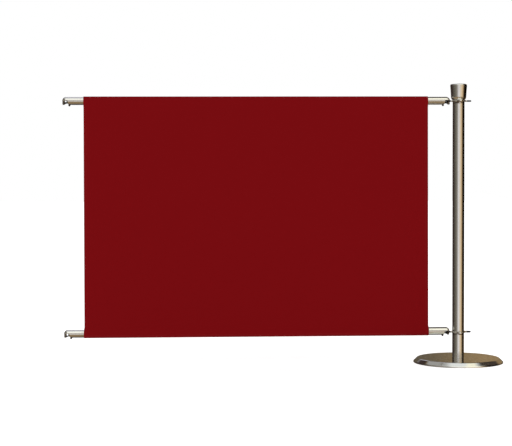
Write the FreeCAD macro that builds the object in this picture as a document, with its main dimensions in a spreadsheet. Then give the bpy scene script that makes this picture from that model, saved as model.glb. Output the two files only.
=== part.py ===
"""A cafe barrier post with a banner screen hooked onto it.

Millimetres, +Z up. The origin is on the floor, on the post's axis. The screen reaches out along -X.
Each hook end is drawn lying along +X from its domed tip, on the crossbar's axis, and then placed.
"""

import FreeCAD, Part
import Sketcher

import math
import os
import re

SIZES = (
    # name, value, what it is
    ("post_height", 1000.0, "floor to the crown of the cap"),
    ("tube_r", 21.2, "post tube, outside"),
    ("tube_wall", 1.5, "post tube"),
    ("base_r", 160.0, "base cover, outside"),
    ("base_flat_r", 147.0, "edge between the base's flat top and its bevel"),
    ("base_height", 17.0, "floor to the flat top of the base"),
    ("base_rim_top", 3.0, "top of the upright rim below the bevel"),
    ("base_rim_round", 4.2, "rounding between the bevel and the rim"),
    ("base_edge_round", 5.0, "rounding between the flat top and the bevel"),
    ("cover_wall", 1.2, "base cover sheet"),
    ("cover_lift", 1.0, "floor to the cover's lower edge"),
    ("mat_r", 152.0, "rubber mat under the weight"),
    ("mat_thick", 2.0, "rubber mat"),
    ("weight_r", 156.0, "steel weight"),
    ("weight_rim_top", 6.0, "top of the weight's upright edge"),
    ("counterbore_r", 14.0, "recess under the weight for the bolt's head"),
    ("counterbore_top", 10.7, "floor to the recess's ceiling"),
    ("thread_r", 5.0, "bolt and stud"),
    ("bolt_hole_r", 5.5, "clearance hole for the bolt"),
    ("bolt_head_low", 2.5, "floor to the bolt's head"),
    ("bolt_head_height", 4.6, "hexagon head"),
    ("bolt_head_corner_r", 9.2, "hexagon head, across its corners"),
    ("bolt_tip", 40.0, "floor to the bolt's tip"),
    ("lock_washer_thick", 2.0, "split lock washer"),
    ("flat_washer_thick", 1.6, "flat washer"),
    ("washer_r", 11.0, "flat washer, outside"),
    ("lock_washer_r", 9.0, "lock washer, outside"),
    ("insert_length", 28.0, "threaded insert in each end of the post tube"),
    ("plate_thick", 5.0, "hook plates"),
    ("collar_r", 26.0, "round middle of a hook plate"),
    ("hook_circle_r", 36.5, "post axis to each ear's hole"),
    ("ear_r", 9.0, "half width and end radius of an ear"),
    ("ear_hole_r", 5.0, "hole in an ear"),
    ("ear_root_round", 5.0, "rounding in the corner between an ear and the collar"),
    ("plate_edge_round", 1.3, "rounding along a hook plate's outer edges"),
    ("lower_plate_top", 112.5, "floor to the lower hook plate's top"),
    ("cap_height", 59.0, "cap, foot to crown"),
    ("cap_foot_r", 21.0, "cap, at its foot"),
    ("cap_belly_r", 27.1, "cap, where the swelling at its foot ends"),
    ("cap_belly_rise", 13.0, "cap, foot to the top of that swelling"),
    ("cap_belly_round", 18.5, "radius of the swelling"),
    ("cap_waist_round", 1200.0, "radius of the slightly hollow wall above the swelling"),
    ("cap_brim_r", 29.9, "cap, at its widest"),
    ("cap_brim_rise", 53.0, "cap, foot to its widest"),
    ("cap_brim_round", 5.2, "radius of the edge over the widest place"),
    ("cap_crown_r", 25.0, "cap, where the edge runs into the crown"),
    ("cap_crown_drop", 1.0, "how much the crown is domed"),
    ("cap_wall", 1.5, "cap shell"),
    ("hub_r", 19.2, "plug inside the cap"),
    ("stud_low_depth", 25.0, "cap stud below the tube's top"),
    ("stud_high_rise", 38.0, "cap stud above the tube's top"),
    ("bar_r", 14.0, "crossbars and hook ends, outside"),
    ("bar_wall", 1.0, "crossbars"),
    ("screen_length", 1380.0, "tip to tip of the hook ends"),
    ("seat_rise", 1.5, "crossbar axis to the flat seat above it in the hook"),
    ("lower_play", 2.5, "lower hook plate's top to the seat of a hook that hangs from the upper one"),
    ("prong_setback", 5.0, "hook tip to the prong's axis"),
    ("prong_r", 4.5, "prong"),
    ("prong_end_r", 3.0, "prong, at its tapered end"),
    ("prong_straight_low", 11.6, "crossbar axis down to the prong's taper"),
    ("prong_taper", 2.0, "length of the prong's taper"),
    ("prong_root", 0.5, "how far the prong is let into the nose"),
    ("throat_back", 19.4, "hook tip to the back of the throat"),
    ("throat_lip_drop", 3.0, "crossbar axis down to where the mouth slants back"),
    ("throat_slant", 3.6, "how far the mouth slants back"),
    ("hook_barrel_length", 40.0, "hook tip to the crossbar's end"),
    ("hook_length", 80.0, "hook tip to the end of its spigot"),
    ("channel_r", 8.0, "latch channel"),
    ("channel_drop", 3.5, "crossbar axis down to the channel's axis"),
    ("latch_gap", 0.3, "latch slider to the channel's round wall"),
    ("latch_roof_gap", 0.4, "latch slider to the channel's flat roof"),
    ("latch_tongue_front", 6.4, "hook tip to the prongs of the latch's forked tongue"),
    ("latch_fork_gap", 0.5, "fork to the hook's prong, all round"),
    ("latch_body_front", 15.5, "hook tip to the latch's body"),
    ("latch_tongue_top", 4.3, "crossbar axis down to the top of the tongue"),
    ("latch_tongue_low", 11.6, "crossbar axis down to the tongue's lowest edge, at its front"),
    ("latch_body_low", 8.4, "crossbar axis down to where the tongue's underside meets the throat"),
    ("latch_back", 45.0, "hook tip to the latch's back"),
    ("latch_travel", 8.5, "how far the latch slides back"),
    ("thumb_setback", 25.0, "hook tip to the thumb pin"),
    ("thumb_r", 2.5, "thumb pin, at its end and in the slot"),
    ("thumb_head_r", 4.2, "thumb pin's button, under the hook"),
    ("thumb_head_gap", 0.5, "hook's skin to the button"),
    ("thumb_head_thick", 1.2, "upright edge of the button"),
    ("thumb_top_drop", 5.0, "crossbar axis down to the thumb pin's top"),
    ("thumb_length", 14.0, "thumb pin"),
    ("thumb_round", 1.2, "rounding of the thumb pin's end"),
    ("slot_clearance", 0.4, "thumb pin to its slot, each side"),
    ("spring_coil_r", 3.4, "latch spring, middle of the wire"),
    ("spring_wire_r", 0.5, "latch spring wire"),
    ("spring_turns", 8.0, "latch spring"),
    ("spring_drop", 3.9, "crossbar axis down to the spring's axis"),
    ("plug_length", 5.0, "plug behind the spring"),
    ("lock_pin_setback", 65.0, "hook tip to the pin that keeps it in the bar"),
    ("lock_pin_r", 2.0, "that pin"),
    ("lock_pin_rise", 7.0, "crossbar axis up to that pin"),
    ("banner_start", 112.8, "post axis to the banner's near edge"),
    ("banner_width", 1223.0, "banner along the crossbars"),
    ("cloth_thick", 1.2, "banner cloth"),
    ("sleeve_gap", 0.4, "crossbar to the cloth sleeve round it"),
)
KNOWN = {name for name, value, note in SIZES}

# heights and lengths that follow from the sizes, as expressions of them
PLATE_TOP = {"upper": "(post_height - cap_height)", "lower": "lower_plate_top"}
TUBE_TOP = "(post_height - cap_height - plate_thick)"
SEAT_PLAY = {"upper": "0", "lower": "lower_play"}
BAR_AXIS = {row: "(%s + %s - seat_rise)" % (top, SEAT_PLAY[row]) for row, top in PLATE_TOP.items()}
TIP = "(hook_circle_r - prong_setback)"
SLEEVE_IN_R = "(bar_r + sleeve_gap)"
SLEEVE_OUT_R = "(bar_r + sleeve_gap + cloth_thick)"
LATCH_R = "(channel_r - latch_gap)"
LATCH_TOP = "(seat_rise - latch_roof_gap)"
SPIGOT_R = "(bar_r - bar_wall)"

doc = FreeCAD.newDocument("CafeBarrier")
sheet = doc.addObject("Spreadsheet::Sheet", "Sizes")
pieces = {}


def fill_sheet():
    for row, (name, value, note) in enumerate(SIZES, start=1):
        sheet.set("A%d" % row, str(value))
        sheet.setAlias("A%d" % row, name)
        sheet.set("B%d" % row, note)
    doc.recompute()


def number(expression):
    """The value now of an expression of the sheet's sizes."""
    found = sheet.evalExpression(str(expression))
    return float(getattr(found, "Value", found))


def linked(expression):
    """The same expression as another object of the document has to write it."""
    return re.sub(
        r"[a-z_]+", lambda word: "Sizes." + word[0] if word[0] in KNOWN else word[0], str(expression)
    )


def bind(thing, **sizes):
    for name, expression in sizes.items():
        thing.setExpression(name, linked(expression))
    return thing


def put(thing, across="0", away="0", up="0", turn=None):
    """Place an object, its position bound to the sheet."""
    if turn is not None:
        thing.Placement.Rotation = turn
    for letter, expression in zip("xyz", (across, away, up)):
        if str(expression) != "0":
            thing.setExpression("Placement.Base." + letter, linked(expression))
    return thing


def keep(node, thing):
    pieces[node] = thing
    return thing


HALF_TURN = FreeCAD.Rotation(FreeCAD.Vector(0, 0, 1), 180)
LIE_ALONG_X = FreeCAD.Rotation(FreeCAD.Vector(0, 1, 0), 90)


# sketches


def new_sketch(body, name, plane, offset=None):
    flat = [one for one in body.Origin.OriginFeatures if one.Role == plane][0]
    sketch = body.newObject("Sketcher::SketchObject", name)
    sketch.AttachmentSupport = [(flat, "")]
    sketch.MapMode = "FlatFace"
    if offset is not None:
        sketch.setExpression("AttachmentOffset.Base.z", linked(offset))
    return sketch


def bound_constraint(sketch, kind, arguments, name, expression):
    index = sketch.addConstraint(Sketcher.Constraint(kind, *arguments, abs(number(expression))))
    sketch.renameConstraint(index, name)
    sketch.setExpression("Constraints." + name, linked(expression))


def pin_point(sketch, edge, end, name, across, up):
    """Hold one end of an edge at a place bound to the sheet."""
    for kind, axis, letter, expression in (
        ("DistanceX", -2, "across_", across),
        ("DistanceY", -1, "up_", up),
    ):
        place = number(expression)
        if abs(place) < 1e-9:
            sketch.addConstraint(Sketcher.Constraint("PointOnObject", edge, end, axis))
        elif place > 0:
            bound_constraint(sketch, kind, (-1, 1, edge, end), letter + name, expression)
        else:
            bound_constraint(sketch, kind, (edge, end, -1, 1), letter + name, "-(%s)" % expression)


def draw_outline(sketch, corners):
    """A closed outline, its corners listed counterclockwise as (across, up). A third entry is the radius of
    a rounded stretch from that corner to the next, bulging outwards, or inwards where it is negative."""
    flat = [FreeCAD.Vector(number(corner[0]), number(corner[1]), 0) for corner in corners]
    for index, corner in enumerate(corners):
        here, there = flat[index], flat[(index + 1) % len(corners)]
        if len(corner) == 2:
            sketch.addGeometry(Part.LineSegment(here, there), False)
            continue
        radius = number(corner[2])
        chord = there - here
        inward = FreeCAD.Vector(-chord.y, chord.x, 0).normalize()
        reach = math.copysign(math.sqrt(max(radius**2 - (chord.Length / 2) ** 2, 0.0)), radius)
        middle = (here + there) / 2 + inward * reach
        first = math.atan2(here.y - middle.y, here.x - middle.x)
        last = math.atan2(there.y - middle.y, there.x - middle.x)
        if radius < 0:
            first, last = last, first
        circle = Part.Circle(middle, FreeCAD.Vector(0, 0, 1), abs(radius))
        sketch.addGeometry(Part.ArcOfCircle(circle, first, last), False)
    hollow = [len(corner) == 3 and number(corner[2]) < 0 for corner in corners]
    for index, corner in enumerate(corners):
        following = (index + 1) % len(corners)
        start, end = (2, 1) if hollow[index] else (1, 2)
        sketch.addConstraint(
            Sketcher.Constraint("Coincident", index, end, following, 2 if hollow[following] else 1)
        )
        pin_point(sketch, index, start, "of_corner_%d" % index, corner[0], corner[1])
    for index, corner in enumerate(corners):
        if len(corner) == 3:
            size = "-(%s)" % corner[2] if hollow[index] else corner[2]
            bound_constraint(sketch, "Radius", (index,), "round_%d" % index, size)


def draw_circle(sketch, index, across, up, radius):
    centre = FreeCAD.Vector(number(across), number(up), 0)
    sketch.addGeometry(Part.Circle(centre, FreeCAD.Vector(0, 0, 1), number(radius)), False)
    for kind, axis, letter, expression in (
        ("DistanceX", -2, "across_", across),
        ("DistanceY", -1, "up_", up),
    ):
        place = number(expression)
        name = letter + "of_circle_%d" % index
        if abs(place) < 1e-9:
            sketch.addConstraint(Sketcher.Constraint("PointOnObject", index, 3, axis))
        elif place > 0:
            bound_constraint(sketch, kind, (-1, 1, index, 3), name, expression)
        else:
            bound_constraint(sketch, kind, (index, 3, -1, 1), name, "-(%s)" % expression)
    bound_constraint(sketch, "Radius", (index,), "radius_of_circle_%d" % index, radius)


# features


def turned(body, name, corners):
    """A revolved feature about Z."""
    sketch = new_sketch(body, name + "_outline", "XZ_Plane")
    draw_outline(sketch, corners)
    feature = body.newObject("PartDesign::Revolution", name)
    feature.Profile = sketch
    feature.ReferenceAxis = (sketch, ["V_Axis"])
    feature.Angle = 360
    return feature


def padded(body, sketch, name, length, reverse=False, both_ways=False):
    feature = body.newObject("PartDesign::Pad", name)
    feature.Profile = sketch
    feature.SideType = "Symmetric" if both_ways else "One side"
    feature.Reversed = reverse
    return bind(feature, Length=length)


def pocketed(body, sketch, name, length, reverse=False, both_ways=False):
    doc.recompute()
    before = body.Shape.Volume
    feature = body.newObject("PartDesign::Pocket", name)
    feature.Profile = sketch
    feature.Type = "Length"
    feature.SideType = "Symmetric" if both_ways else "One side"
    feature.Reversed = reverse
    bind(feature, Length=length)
    doc.recompute()
    if body.Shape.Volume > before - 1e-3:
        raise RuntimeError("%s in %s cuts nothing" % (name, body.Label))
    return feature


def rounded(body, name, radius, chosen):
    """Round the edges of the body's tip that chosen() picks."""
    doc.recompute()
    tip = body.Tip
    picked = ["Edge%d" % index for index, edge in enumerate(tip.Shape.Edges, start=1) if chosen(edge)]
    if not picked:
        raise RuntimeError("%s in %s rounds nothing" % (name, body.Label))
    feature = body.newObject("PartDesign::Fillet", name)
    feature.Base = (tip, picked)
    bind(feature, Radius=radius)
    body.Tip = feature
    doc.recompute()
    if feature.Shape.isNull() or not feature.Shape.isValid():
        raise RuntimeError("%s in %s failed" % (name, body.Label))
    return feature


def new_body(node):
    return keep(node, doc.addObject("PartDesign::Body", node))


def lathe(node, corners):
    """A sub-part turned in one piece."""
    body = new_body(node)
    turned(body, node + "_turn", corners)
    return body


def ring(node, inner, outer, low, high):
    return lathe(node, ((inner, low), (outer, low), (outer, high), (inner, high)))


# the base


def make_base():
    inside_top = "base_height - cover_wall"
    bevel_low = ("base_r - 1.5", "base_rim_top + 3")
    slope = "atan((base_height - base_rim_top - 3) / (base_r - 1.5 - base_flat_r))"
    reach = "base_edge_round * tan(%s / 2)" % slope
    lathe(
        "base_cover",
        (
            ("bolt_hole_r", inside_top),
            ("base_flat_r - cover_wall / 2", inside_top),
            ("base_r - 1.5 - cover_wall", "base_rim_top + 2.3"),
            ("base_r - cover_wall", "base_rim_top"),
            ("base_r - cover_wall", "cover_lift"),
            ("base_r", "cover_lift"),
            ("base_r", "base_rim_top", "base_rim_round"),
            bevel_low,
            (
                "base_flat_r + %s * cos(%s)" % (reach, slope),
                "base_height - %s * sin(%s)" % (reach, slope),
                "base_edge_round",
            ),
            ("base_flat_r - " + reach, "base_height"),
            ("bolt_hole_r", "base_height"),
        ),
    )
    lathe(
        "base_weight",
        (
            ("counterbore_r", "mat_thick"),
            ("weight_r", "mat_thick"),
            ("weight_r", "weight_rim_top - 1.2"),
            ("base_flat_r - 2", inside_top),
            ("bolt_hole_r", inside_top),
            ("bolt_hole_r", "counterbore_top"),
            ("counterbore_r", "counterbore_top"),
        ),
    )
    lathe("base_mat", (("0", "0"), ("mat_r", "0"), ("mat_r", "mat_thick"), ("0", "mat_thick")))
    head_top = "bolt_head_low + bolt_head_height"
    ring("base_lock_washer", "thread_r + 0.25", "lock_washer_r", head_top, head_top + " + lock_washer_thick")
    ring(
        "base_flat_washer",
        "thread_r + 0.25",
        "washer_r",
        head_top + " + lock_washer_thick",
        head_top + " + lock_washer_thick + flat_washer_thick",
    )
    head = bind(
        doc.addObject("Part::Prism", "bolt_head"), Circumradius="bolt_head_corner_r", Height="bolt_head_height"
    )
    head.Polygon = 6
    put(head, up="bolt_head_low")
    shank = bind(
        doc.addObject("Part::Cylinder", "bolt_shank"), Radius="thread_r", Height="bolt_tip - bolt_head_low - 1"
    )
    put(shank, up="bolt_head_low + 1")
    bolt = doc.addObject("Part::Fuse", "base_bolt")
    bolt.Base = head
    bolt.Tool = shank
    keep("base_bolt", bolt)


# the post


def make_post():
    bore = "tube_r - tube_wall"
    ring("post_tube", bore, "tube_r", "base_height", TUBE_TOP)
    ring("post_foot_insert", "thread_r", bore, "base_height", "base_height + insert_length")
    ring("post_head_insert", "thread_r", bore, TUBE_TOP + " - insert_length", TUBE_TOP)


def hook_plate(node, hole, low):
    """Four ears in a cross round a collar."""
    body = new_body(node)
    middle = new_sketch(body, node + "_collar_outline", "XY_Plane", low)
    draw_circle(middle, 0, "0", "0", "collar_r")
    padded(body, middle, node + "_collar", "plate_thick")
    outline = new_sketch(body, node + "_ear_outline", "XY_Plane", low)
    draw_outline(
        outline,
        (
            ("0", "-(ear_r)"),
            ("hook_circle_r", "-(ear_r)", "ear_r + 0.0001"),
            ("hook_circle_r", "ear_r"),
            ("0", "ear_r"),
        ),
    )
    ear = padded(body, outline, node + "_ear", "plate_thick")
    doc.recompute()
    ears = body.newObject("PartDesign::PolarPattern", node + "_ears")
    ears.Originals = [ear]
    ears.Axis = (outline, ["N_Axis"])
    ears.Angle = 360
    ears.Occurrences = 4
    body.Tip = ears
    foot = number(low)
    head = foot + number("plate_thick")
    root_reach = number("sqrt(collar_r * collar_r - ear_r * ear_r)")

    def is_root(edge):
        """An upright edge where an ear's side runs into the collar."""
        ends = [vertex.Point for vertex in edge.Vertexes]
        if len(ends) != 2 or abs(ends[0].z - ends[1].z) < number("plate_thick") - 0.01:
            return False
        return abs(math.hypot(ends[0].x, ends[0].y) - number("collar_r")) < 0.01

    def is_rim(edge):
        box = edge.BoundBox
        flat = box.ZLength < 0.01 and (abs(box.ZMin - foot) < 0.01 or abs(box.ZMin - head) < 0.01)
        return flat and edge.CenterOfMass.sub(FreeCAD.Vector(0, 0, box.ZMin)).Length > root_reach / 2

    rounded(body, node + "_roots", "ear_root_round", is_root)
    rounded(body, node + "_rims", "plate_edge_round", is_rim)
    eye = new_sketch(body, node + "_eye_outline", "XY_Plane", low)
    draw_circle(eye, 0, "hook_circle_r", "0", "ear_hole_r")
    drilled = pocketed(body, eye, node + "_eye", "plate_thick", reverse=True)
    eyes = body.newObject("PartDesign::PolarPattern", node + "_eyes")
    eyes.Originals = [drilled]
    eyes.Axis = (eye, ["N_Axis"])
    eyes.Angle = 360
    eyes.Occurrences = 4
    body.Tip = eyes
    doc.recompute()
    centre = new_sketch(body, node + "_centre_outline", "XY_Plane", low)
    draw_circle(centre, 0, "0", "0", hole)
    pocketed(body, centre, node + "_centre", "plate_thick", reverse=True)
    return body


# the cap


def make_cap():
    foot = PLATE_TOP["upper"]
    crown = "post_height - cap_crown_drop"
    dome_r = "(cap_crown_r * cap_crown_r + cap_crown_drop * cap_crown_drop) / (2 * cap_crown_drop)"
    cap = new_body("cap_shell")
    turned(
        cap,
        "cap_shell_solid",
        (
            ("0", foot),
            ("cap_foot_r", foot, "cap_belly_round"),
            ("cap_belly_r", foot + " + cap_belly_rise", "-(cap_waist_round)"),
            ("cap_brim_r", foot + " + cap_brim_rise", "cap_brim_round"),
            ("cap_crown_r", crown, dome_r),
            ("0", "post_height"),
        ),
    )
    doc.recompute()
    solid = cap.Shape.Volume
    hollow = new_sketch(cap, "cap_shell_hollow_outline", "XZ_Plane")
    ceiling = "post_height - cap_crown_drop - cap_wall"
    draw_outline(
        hollow,
        (
            ("0", foot),
            ("cap_foot_r - cap_wall", foot),
            ("cap_belly_r - cap_wall - 0.6", foot + " + cap_belly_rise"),
            ("cap_brim_r - cap_wall - 0.3", foot + " + cap_brim_rise"),
            ("cap_crown_r - cap_wall", ceiling),
            ("0", ceiling),
        ),
    )
    groove = cap.newObject("PartDesign::Groove", "cap_shell_hollow")
    groove.Profile = hollow
    groove.ReferenceAxis = (hollow, ["V_Axis"])
    groove.Angle = 360
    doc.recompute()
    if cap.Shape.Volume > solid / 2:
        raise RuntimeError("the cap is not hollow")
    stud_low = TUBE_TOP + " - stud_low_depth"
    stud_high = TUBE_TOP + " + stud_high_rise"
    lathe(
        "cap_hub",
        (
            ("thread_r", foot),
            ("hub_r", foot),
            ("hub_r", ceiling),
            ("0", ceiling),
            ("0", stud_high + " + 2"),
            ("thread_r", stud_high + " + 2"),
        ),
    )
    lathe("cap_stud", (("0", stud_low), ("thread_r", stud_low), ("thread_r", stud_high), ("0", stud_high)))


# the hook ends


def place_end(thing, row, end, setback="0", up="0"):
    """Put a piece drawn in the hook end's own directions at one end of a crossbar."""
    height = BAR_AXIS[row] + " + " + up
    if end == "post":
        return put(thing, "-(%s + %s)" % (TIP, setback), "0", height, HALF_TURN)
    return put(thing, "-(%s + screen_length) + %s" % (TIP, setback), "0", height, FreeCAD.Rotation())


def channel_outline(radius, roof):
    """A circle below the crossbar's axis, cut flat at the roof: its two corners, as (across, up)."""
    drop = roof + " + channel_drop"
    half = "sqrt((%s) * (%s) - (%s) * (%s))" % (radius, radius, drop, drop)
    return (("-(%s)" % half, roof), ("0", "-(channel_drop + (%s))" % radius), (half, roof))


def draw_channel(sketch, radius, roof):
    left, bottom, right = channel_outline(radius, roof)
    draw_outline(sketch, ((left[0], left[1], radius), (bottom[0], bottom[1], radius), right))


def make_hook(node, row, end):
    body = new_body(node)
    profile = new_sketch(body, node + "_turned_outline", "XZ_Plane")
    draw_outline(
        profile,
        (
            ("0", "0"),
            ("hook_length", "0"),
            ("hook_length", SPIGOT_R),
            ("hook_barrel_length", SPIGOT_R),
            ("hook_barrel_length", "bar_r"),
            ("bar_r", "bar_r", "bar_r + 0.0001"),
        ),
    )
    barrel = body.newObject("PartDesign::Revolution", node + "_turned")
    barrel.Profile = profile
    barrel.ReferenceAxis = (profile, ["H_Axis"])
    barrel.Angle = 360
    throat = new_sketch(body, node + "_throat_outline", "XZ_Plane")
    draw_outline(
        throat,
        (
            ("-1", "-(bar_r + 1)"),
            ("throat_back + throat_slant", "-(bar_r + 1)"),
            ("throat_back", "-(throat_lip_drop)"),
            ("throat_back", "seat_rise"),
            ("-1", "seat_rise"),
        ),
    )
    pocketed(body, throat, node + "_throat", "3 * bar_r", both_ways=True)
    channel = new_sketch(body, node + "_channel_outline", "YZ_Plane", "throat_back - 1")
    draw_channel(channel, "channel_r", "seat_rise")
    pocketed(body, channel, node + "_channel", "hook_length", reverse=True)
    slot = new_sketch(body, node + "_slot_outline", "XY_Plane", "-(channel_drop)")
    half = "(thumb_r + slot_clearance)"
    slot_end = "thumb_setback + latch_travel"
    draw_outline(
        slot,
        (
            ("throat_back - 1", "-" + half),
            (slot_end, "-" + half, half + " + 0.0001"),
            (slot_end, half),
            ("throat_back - 1", half),
        ),
    )
    pocketed(body, slot, node + "_slot", "bar_r")
    lock = new_sketch(body, node + "_lock_outline", "XZ_Plane")
    draw_circle(lock, 0, "lock_pin_setback", "lock_pin_rise", "lock_pin_r")
    pocketed(body, lock, node + "_lock", "3 * bar_r", both_ways=True)
    root = new_sketch(body, node + "_prong_outline", "XY_Plane", "seat_rise + prong_root")
    draw_circle(root, 0, "prong_setback", "0", "prong_r")
    padded(body, root, node + "_prong", "seat_rise + prong_root + prong_straight_low", reverse=True)
    doc.recompute()
    taper = new_sketch(body, node + "_taper_outline", "XY_Plane", "-(prong_straight_low)")
    draw_circle(taper, 0, "prong_setback", "0", "prong_r")
    point = padded(body, taper, node + "_taper", "prong_taper", reverse=True)
    point.TaperAngle = -math.degrees(math.atan2(number("prong_r - prong_end_r"), number("prong_taper")))
    point.setExpression("TaperAngle", linked("-atan((prong_r - prong_end_r) / prong_taper)"))
    place_end(body, row, end)


def make_latch(node, row, end):
    """The sprung slider: its body shuts the throat and its tongue goes under the plate."""
    body = new_body(node)
    profile = new_sketch(body, node + "_profile", "YZ_Plane", "latch_tongue_front")
    draw_channel(profile, LATCH_R, LATCH_TOP)
    padded(body, profile, node + "_bar", "latch_back - latch_tongue_front")
    tongue_top = "(latch_tongue_top + %s)" % SEAT_PLAY[row]
    steps = new_sketch(body, node + "_over_tongue", "XZ_Plane")
    draw_outline(
        steps,
        (
            ("latch_tongue_front - 1", "-" + tongue_top),
            ("latch_body_front", "-" + tongue_top),
            ("latch_body_front", "bar_r"),
            ("latch_tongue_front - 1", "bar_r"),
        ),
    )
    pocketed(body, steps, node + "_over", "3 * bar_r", both_ways=True)
    under = new_sketch(body, node + "_under_tongue", "XZ_Plane")
    draw_outline(
        under,
        (
            ("latch_tongue_front", "-(bar_r)"),
            ("throat_back", "-(bar_r)"),
            ("throat_back", "-(latch_body_low)"),
            ("latch_tongue_front", "-(latch_tongue_low)"),
        ),
    )
    pocketed(body, under, node + "_under", "3 * bar_r", both_ways=True)
    gap = new_sketch(body, node + "_fork_gap_outline", "XY_Plane", "-(bar_r)")
    notch = "(prong_r + latch_fork_gap)"
    draw_outline(
        gap,
        (
            ("latch_tongue_front - 1", "-" + notch),
            ("prong_setback", "-" + notch, notch + " + 0.0001"),
            ("prong_setback", notch),
            ("latch_tongue_front - 1", notch),
        ),
    )
    pocketed(body, gap, node + "_fork_gap", "2 * bar_r", reverse=True)
    seat = new_sketch(body, node + "_pin_seat", "XY_Plane", "-(thumb_top_drop)")
    draw_circle(seat, 0, "thumb_setback", "0", "thumb_r")
    pocketed(body, seat, node + "_pin_hole", "bar_r")
    place_end(body, row, end)


def make_thumb_pin(node, row, end):
    """A button under the hook, on a pin that goes up through the slot into the latch."""
    head_top = "thumb_length + thumb_top_drop - bar_r - thumb_head_gap"
    body = lathe(
        node,
        (
            ("0", "0"),
            ("thumb_r - thumb_round", "0", "thumb_round + 0.0001"),
            ("thumb_r", "thumb_round"),
            ("thumb_head_r", head_top + " - thumb_head_thick"),
            ("thumb_head_r", head_top),
            ("thumb_r", head_top),
            ("thumb_r", "thumb_length"),
            ("0", "thumb_length"),
        ),
    )
    place_end(body, row, end, "thumb_setback", "0 - thumb_top_drop - thumb_length")


def make_spring(node, row, end):
    """A coil between the back of the latch and the plug."""
    room = "(hook_length - plug_length - latch_back - 2 * spring_wire_r - 0.4)"
    coil = doc.addObject("Part::Helix", node + "_coil")
    bind(coil, Radius="spring_coil_r", Height=room, Pitch=room + " / spring_turns")
    wire = doc.addObject("Part::Circle", node + "_wire")
    bind(wire, Radius="spring_wire_r")
    put(wire, "spring_coil_r", turn=FreeCAD.Rotation(FreeCAD.Vector(1, 0, 0), 90))
    doc.recompute()
    spring = doc.addObject("Part::Sweep", node)
    spring.Sections = [wire]
    spring.Spine = (coil, ["Edge%d" % (n + 1) for n in range(len(coil.Shape.Edges))])
    spring.Solid = True
    spring.Frenet = True
    keep(node, spring)
    start = "latch_back + spring_wire_r + 0.2"
    place_end(spring, row, end, start, "0 - spring_drop")
    spring.Placement.Rotation = spring.Placement.Rotation.multiply(LIE_ALONG_X)


def make_plug(node, row, end):
    body = new_body(node)
    profile = new_sketch(body, node + "_profile", "YZ_Plane", "hook_length - plug_length")
    draw_channel(profile, "channel_r", "seat_rise")
    padded(body, profile, node + "_disc", "plug_length")
    place_end(body, row, end)


def make_lock_pin(node, row, end):
    """A cross pin with its ends flush with the crossbar."""
    pin = bind(doc.addObject("Part::Cylinder", node + "_rod"), Radius="lock_pin_r", Height="3 * bar_r")
    put(
        pin,
        "lock_pin_setback",
        "1.5 * bar_r",
        "lock_pin_rise",
        FreeCAD.Rotation(FreeCAD.Vector(1, 0, 0), 90),
    )
    skin = bind(doc.addObject("Part::Cylinder", node + "_skin"), Radius="bar_r", Height="hook_length")
    put(skin, turn=LIE_ALONG_X)
    flush = doc.addObject("Part::Common", node)
    flush.Base = pin
    flush.Tool = skin
    keep(node, flush)
    place_end(flush, row, end)


# the screen


def make_bar(node, row):
    length = "(screen_length - 2 * hook_barrel_length)"
    body = new_body(node)
    wall = new_sketch(body, node + "_wall", "YZ_Plane")
    draw_circle(wall, 0, "0", "0", "bar_r")
    draw_circle(wall, 1, "0", "0", SPIGOT_R)
    padded(body, wall, node + "_length", length)
    holes = new_sketch(body, node + "_holes_outline", "XZ_Plane")
    setback = "(lock_pin_setback - hook_barrel_length)"
    draw_circle(holes, 0, setback, "lock_pin_rise", "lock_pin_r")
    draw_circle(holes, 1, length + " - " + setback, "lock_pin_rise", "lock_pin_r")
    pocketed(body, holes, node + "_holes", "3 * bar_r", both_ways=True)
    put(body, "-(%s + screen_length - hook_barrel_length)" % TIP, "0", BAR_AXIS[row])


def make_banner():
    """One cloth: a sleeve round each crossbar, and a sheet between them on the near side."""

    def rod(name, radius, row):
        piece = bind(doc.addObject("Part::Cylinder", name), Radius=radius, Height="banner_width")
        return put(piece, "-(banner_start + banner_width)", "0", BAR_AXIS[row], LIE_ALONG_X)

    sheet_part = bind(
        doc.addObject("Part::Box", "banner_panel"),
        Length="banner_width",
        Width="cloth_thick",
        Height="%s - %s" % (BAR_AXIS["upper"], BAR_AXIS["lower"]),
    )
    put(sheet_part, "-(banner_start + banner_width)", "-(%s)" % SLEEVE_OUT_R, BAR_AXIS["lower"])
    whole = doc.addObject("Part::MultiFuse", "banner_whole")
    whole.Shapes = [sheet_part] + [rod("banner_" + row + "_sleeve", SLEEVE_OUT_R, row) for row in BAR_AXIS]
    bores = doc.addObject("Part::MultiFuse", "banner_bores")
    bores.Shapes = [rod("banner_" + row + "_bore", SLEEVE_IN_R, row) for row in BAR_AXIS]
    banner = doc.addObject("Part::Cut", "banner")
    banner.Base = whole
    banner.Tool = bores
    keep("banner", banner)


def make_everything():
    fill_sheet()
    make_base()
    make_post()
    hook_plate("upper_hook_plate", "thread_r + 0.3", TUBE_TOP)
    hook_plate("lower_hook_plate", "tube_r", PLATE_TOP["lower"] + " - plate_thick")
    make_cap()
    for row in ("upper", "lower"):
        make_bar(row + "_crossbar", row)
        for end in ("post", "free"):
            name = "%s_%s_" % (row, end)
            make_hook(name + "hook", row, end)
            make_latch(name + "latch", row, end)
            make_thumb_pin(name + "thumb_pin", row, end)
            make_spring(name + "spring", row, end)
            make_plug(name + "spring_plug", row, end)
            make_lock_pin(name + "lock_pin", row, end)
    make_banner()
    doc.recompute()


def check_everything():
    for thing in doc.Objects:
        if {"Invalid", "Error"} & set(thing.State):
            raise RuntimeError("%s failed: %s" % (thing.Label, thing.State))
    for node, piece in pieces.items():
        if piece.Shape.isNull() or not piece.Shape.isValid() or not piece.Shape.Solids:
            raise RuntimeError("%s has no sound solid" % node)


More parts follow.
